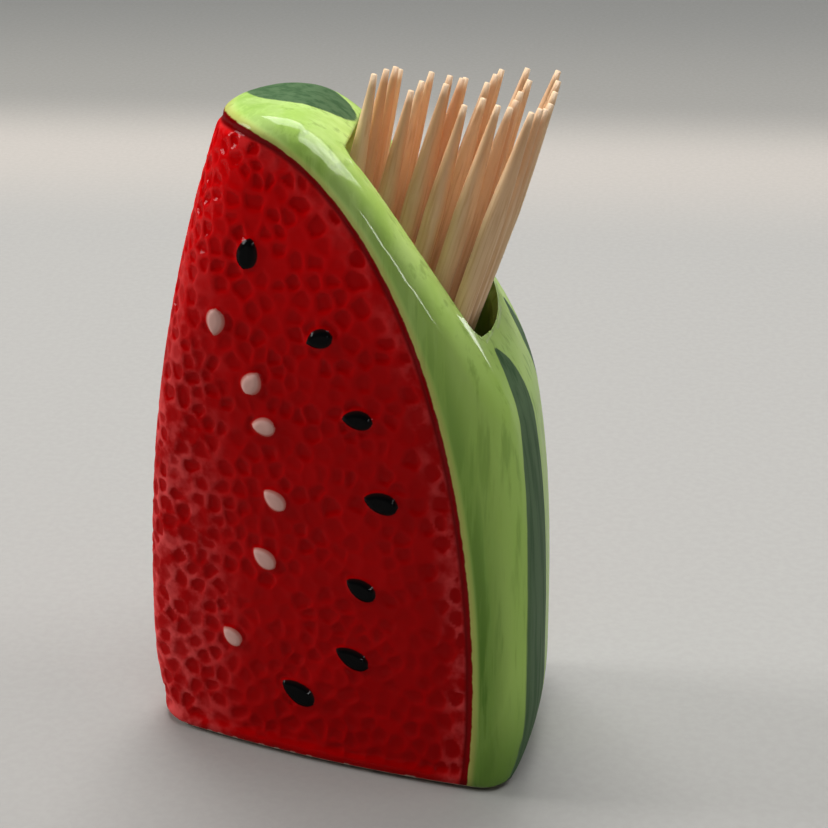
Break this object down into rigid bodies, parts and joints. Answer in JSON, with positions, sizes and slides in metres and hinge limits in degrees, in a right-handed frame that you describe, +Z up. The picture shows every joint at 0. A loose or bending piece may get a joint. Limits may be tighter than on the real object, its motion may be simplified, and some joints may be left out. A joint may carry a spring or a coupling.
{
  "type": "toothpick holder",
  "caption": "Free-standing glazed ceramic toothpick holder shaped as a watermelon wedge, hollow, with a scooped mouth in its rind and loose round wooden toothpicks fanned out of it.",
  "frame": {"origin": "centre of the base's length on the table plane, in the wedge's plane of symmetry", "axes": "+Z up from the table, +X from the wedge's nose to its rind, +Y across the wedge from its front face to its back face"},
  "size_m": [0.0458, 0.0312, 0.0776],
  "materials": {
    "glazed_ceramic": "hand-painted red, green and black under a clear gloss glaze",
    "wood": "bare turned wood, unfinished"
  },
  "bodies": {
    "holder": {"ceramic_body": "glazed_ceramic"},
    "toothpick_01": {"toothpick_01": "wood"},
    "toothpick_02": {"toothpick_02": "wood"},
    "toothpick_03": {"toothpick_03": "wood"},
    "toothpick_04": {"toothpick_04": "wood"},
    "toothpick_05": {"toothpick_05": "wood"},
    "toothpick_06": {"toothpick_06": "wood"},
    "toothpick_07": {"toothpick_07": "wood"},
    "toothpick_08": {"toothpick_08": "wood"},
    "toothpick_09": {"toothpick_09": "wood"},
    "toothpick_10": {"toothpick_10": "wood"},
    "toothpick_11": {"toothpick_11": "wood"},
    "toothpick_12": {"toothpick_12": "wood"},
    "toothpick_13": {"toothpick_13": "wood"},
    "toothpick_14": {"toothpick_14": "wood"},
    "toothpick_15": {"toothpick_15": "wood"},
    "toothpick_16": {"toothpick_16": "wood"},
    "toothpick_17": {"toothpick_17": "wood"},
    "toothpick_18": {"toothpick_18": "wood"},
    "toothpick_19": {"toothpick_19": "wood"},
    "toothpick_20": {"toothpick_20": "wood"},
    "toothpick_21": {"toothpick_21": "wood"},
    "toothpick_22": {"toothpick_22": "wood"},
    "toothpick_23": {"toothpick_23": "wood"},
    "toothpick_24": {"toothpick_24": "wood"},
    "toothpick_25": {"toothpick_25": "wood"},
    "toothpick_26": {"toothpick_26": "wood"},
    "toothpick_27": {"toothpick_27": "wood"},
    "toothpick_28": {"toothpick_28": "wood"},
    "toothpick_29": {"toothpick_29": "wood"}
  },
  "joints": [
    {"name": "toothpick_01_draw", "type": "slide", "parent": "holder", "child": "toothpick_01", "axis": [0.2001, -0.0204, 0.9796], "range_m": [0, 0.07]},
    {"name": "toothpick_02_draw", "type": "slide", "parent": "holder", "child": "toothpick_02", "axis": [0.2133, -0.0171, 0.9768], "range_m": [0, 0.07]},
    {"name": "toothpick_03_draw", "type": "slide", "parent": "holder", "child": "toothpick_03", "axis": [0.2249, 0.0154, 0.9743], "range_m": [0, 0.07]},
    {"name": "toothpick_04_draw", "type": "slide", "parent": "holder", "child": "toothpick_04", "axis": [0.2349, 0.0245, 0.9717], "range_m": [0, 0.07]},
    {"name": "toothpick_05_draw", "type": "slide", "parent": "holder", "child": "toothpick_05", "axis": [0.23, -0.0233, 0.9729], "range_m": [0, 0.07]},
    {"name": "toothpick_06_draw", "type": "slide", "parent": "holder", "child": "toothpick_06", "axis": [0.241, 0.0081, 0.9705], "range_m": [0, 0.07]},
    {"name": "toothpick_07_draw", "type": "slide", "parent": "holder", "child": "toothpick_07", "axis": [0.2545, 0.0113, 0.967], "range_m": [0, 0.07]},
    {"name": "toothpick_08_draw", "type": "slide", "parent": "holder", "child": "toothpick_08", "axis": [0.253, -0.027, 0.9671], "range_m": [0, 0.07]},
    {"name": "toothpick_09_draw", "type": "slide", "parent": "holder", "child": "toothpick_09", "axis": [0.252, -0.0068, 0.9677], "range_m": [0, 0.07]},
    {"name": "toothpick_10_draw", "type": "slide", "parent": "holder", "child": "toothpick_10", "axis": [0.2732, 0.0024, 0.962], "range_m": [0, 0.07]},
    {"name": "toothpick_11_draw", "type": "slide", "parent": "holder", "child": "toothpick_11", "axis": [0.2818, 0.0376, 0.9588], "range_m": [0, 0.07]},
    {"name": "toothpick_12_draw", "type": "slide", "parent": "holder", "child": "toothpick_12", "axis": [0.2595, -0.0461, 0.9646], "range_m": [0, 0.07]},
    {"name": "toothpick_13_draw", "type": "slide", "parent": "holder", "child": "toothpick_13", "axis": [0.2842, -0.0226, 0.9585], "range_m": [0, 0.07]},
    {"name": "toothpick_14_draw", "type": "slide", "parent": "holder", "child": "toothpick_14", "axis": [0.2825, 0.0068, 0.9592], "range_m": [0, 0.07]},
    {"name": "toothpick_15_draw", "type": "slide", "parent": "holder", "child": "toothpick_15", "axis": [0.2938, 0.0126, 0.9558], "range_m": [0, 0.07]},
    {"name": "toothpick_16_draw", "type": "slide", "parent": "holder", "child": "toothpick_16", "axis": [0.3065, 0.0466, 0.9507], "range_m": [0, 0.07]},
    {"name": "toothpick_17_draw", "type": "slide", "parent": "holder", "child": "toothpick_17", "axis": [0.2811, -0.0539, 0.9582], "range_m": [0, 0.07]},
    {"name": "toothpick_18_draw", "type": "slide", "parent": "holder", "child": "toothpick_18", "axis": [0.2989, -0.0383, 0.9535], "range_m": [0, 0.07]},
    {"name": "toothpick_19_draw", "type": "slide", "parent": "holder", "child": "toothpick_19", "axis": [0.3043, -0.0026, 0.9526], "range_m": [0, 0.07]},
    {"name": "toothpick_20_draw", "type": "slide", "parent": "holder", "child": "toothpick_20", "axis": [0.3089, 0.0045, 0.9511], "range_m": [0, 0.07]},
    {"name": "toothpick_21_draw", "type": "slide", "parent": "holder", "child": "toothpick_21", "axis": [0.3216, 0.0333, 0.9463], "range_m": [0, 0.07]},
    {"name": "toothpick_22_draw", "type": "slide", "parent": "holder", "child": "toothpick_22", "axis": [0.3179, 0.0583, 0.9463], "range_m": [0, 0.07]},
    {"name": "toothpick_23_draw", "type": "slide", "parent": "holder", "child": "toothpick_23", "axis": [0.3046, -0.0749, 0.9495], "range_m": [0, 0.07]},
    {"name": "toothpick_24_draw", "type": "slide", "parent": "holder", "child": "toothpick_24", "axis": [0.3145, -0.0376, 0.9485], "range_m": [0, 0.07]},
    {"name": "toothpick_25_draw", "type": "slide", "parent": "holder", "child": "toothpick_25", "axis": [0.3226, -0.0248, 0.9462], "range_m": [0, 0.07]},
    {"name": "toothpick_26_draw", "type": "slide", "parent": "holder", "child": "toothpick_26", "axis": [0.3294, -0.0034, 0.9442], "range_m": [0, 0.07]},
    {"name": "toothpick_27_draw", "type": "slide", "parent": "holder", "child": "toothpick_27", "axis": [0.3346, 0.0298, 0.9419], "range_m": [0, 0.07]},
    {"name": "toothpick_28_draw", "type": "slide", "parent": "holder", "child": "toothpick_28", "axis": [0.3386, 0.0366, 0.9402], "range_m": [0, 0.07]},
    {"name": "toothpick_29_draw", "type": "slide", "parent": "holder", "child": "toothpick_29", "axis": [0.3409, 0.0698, 0.9375], "range_m": [0, 0.07]}
  ]
}
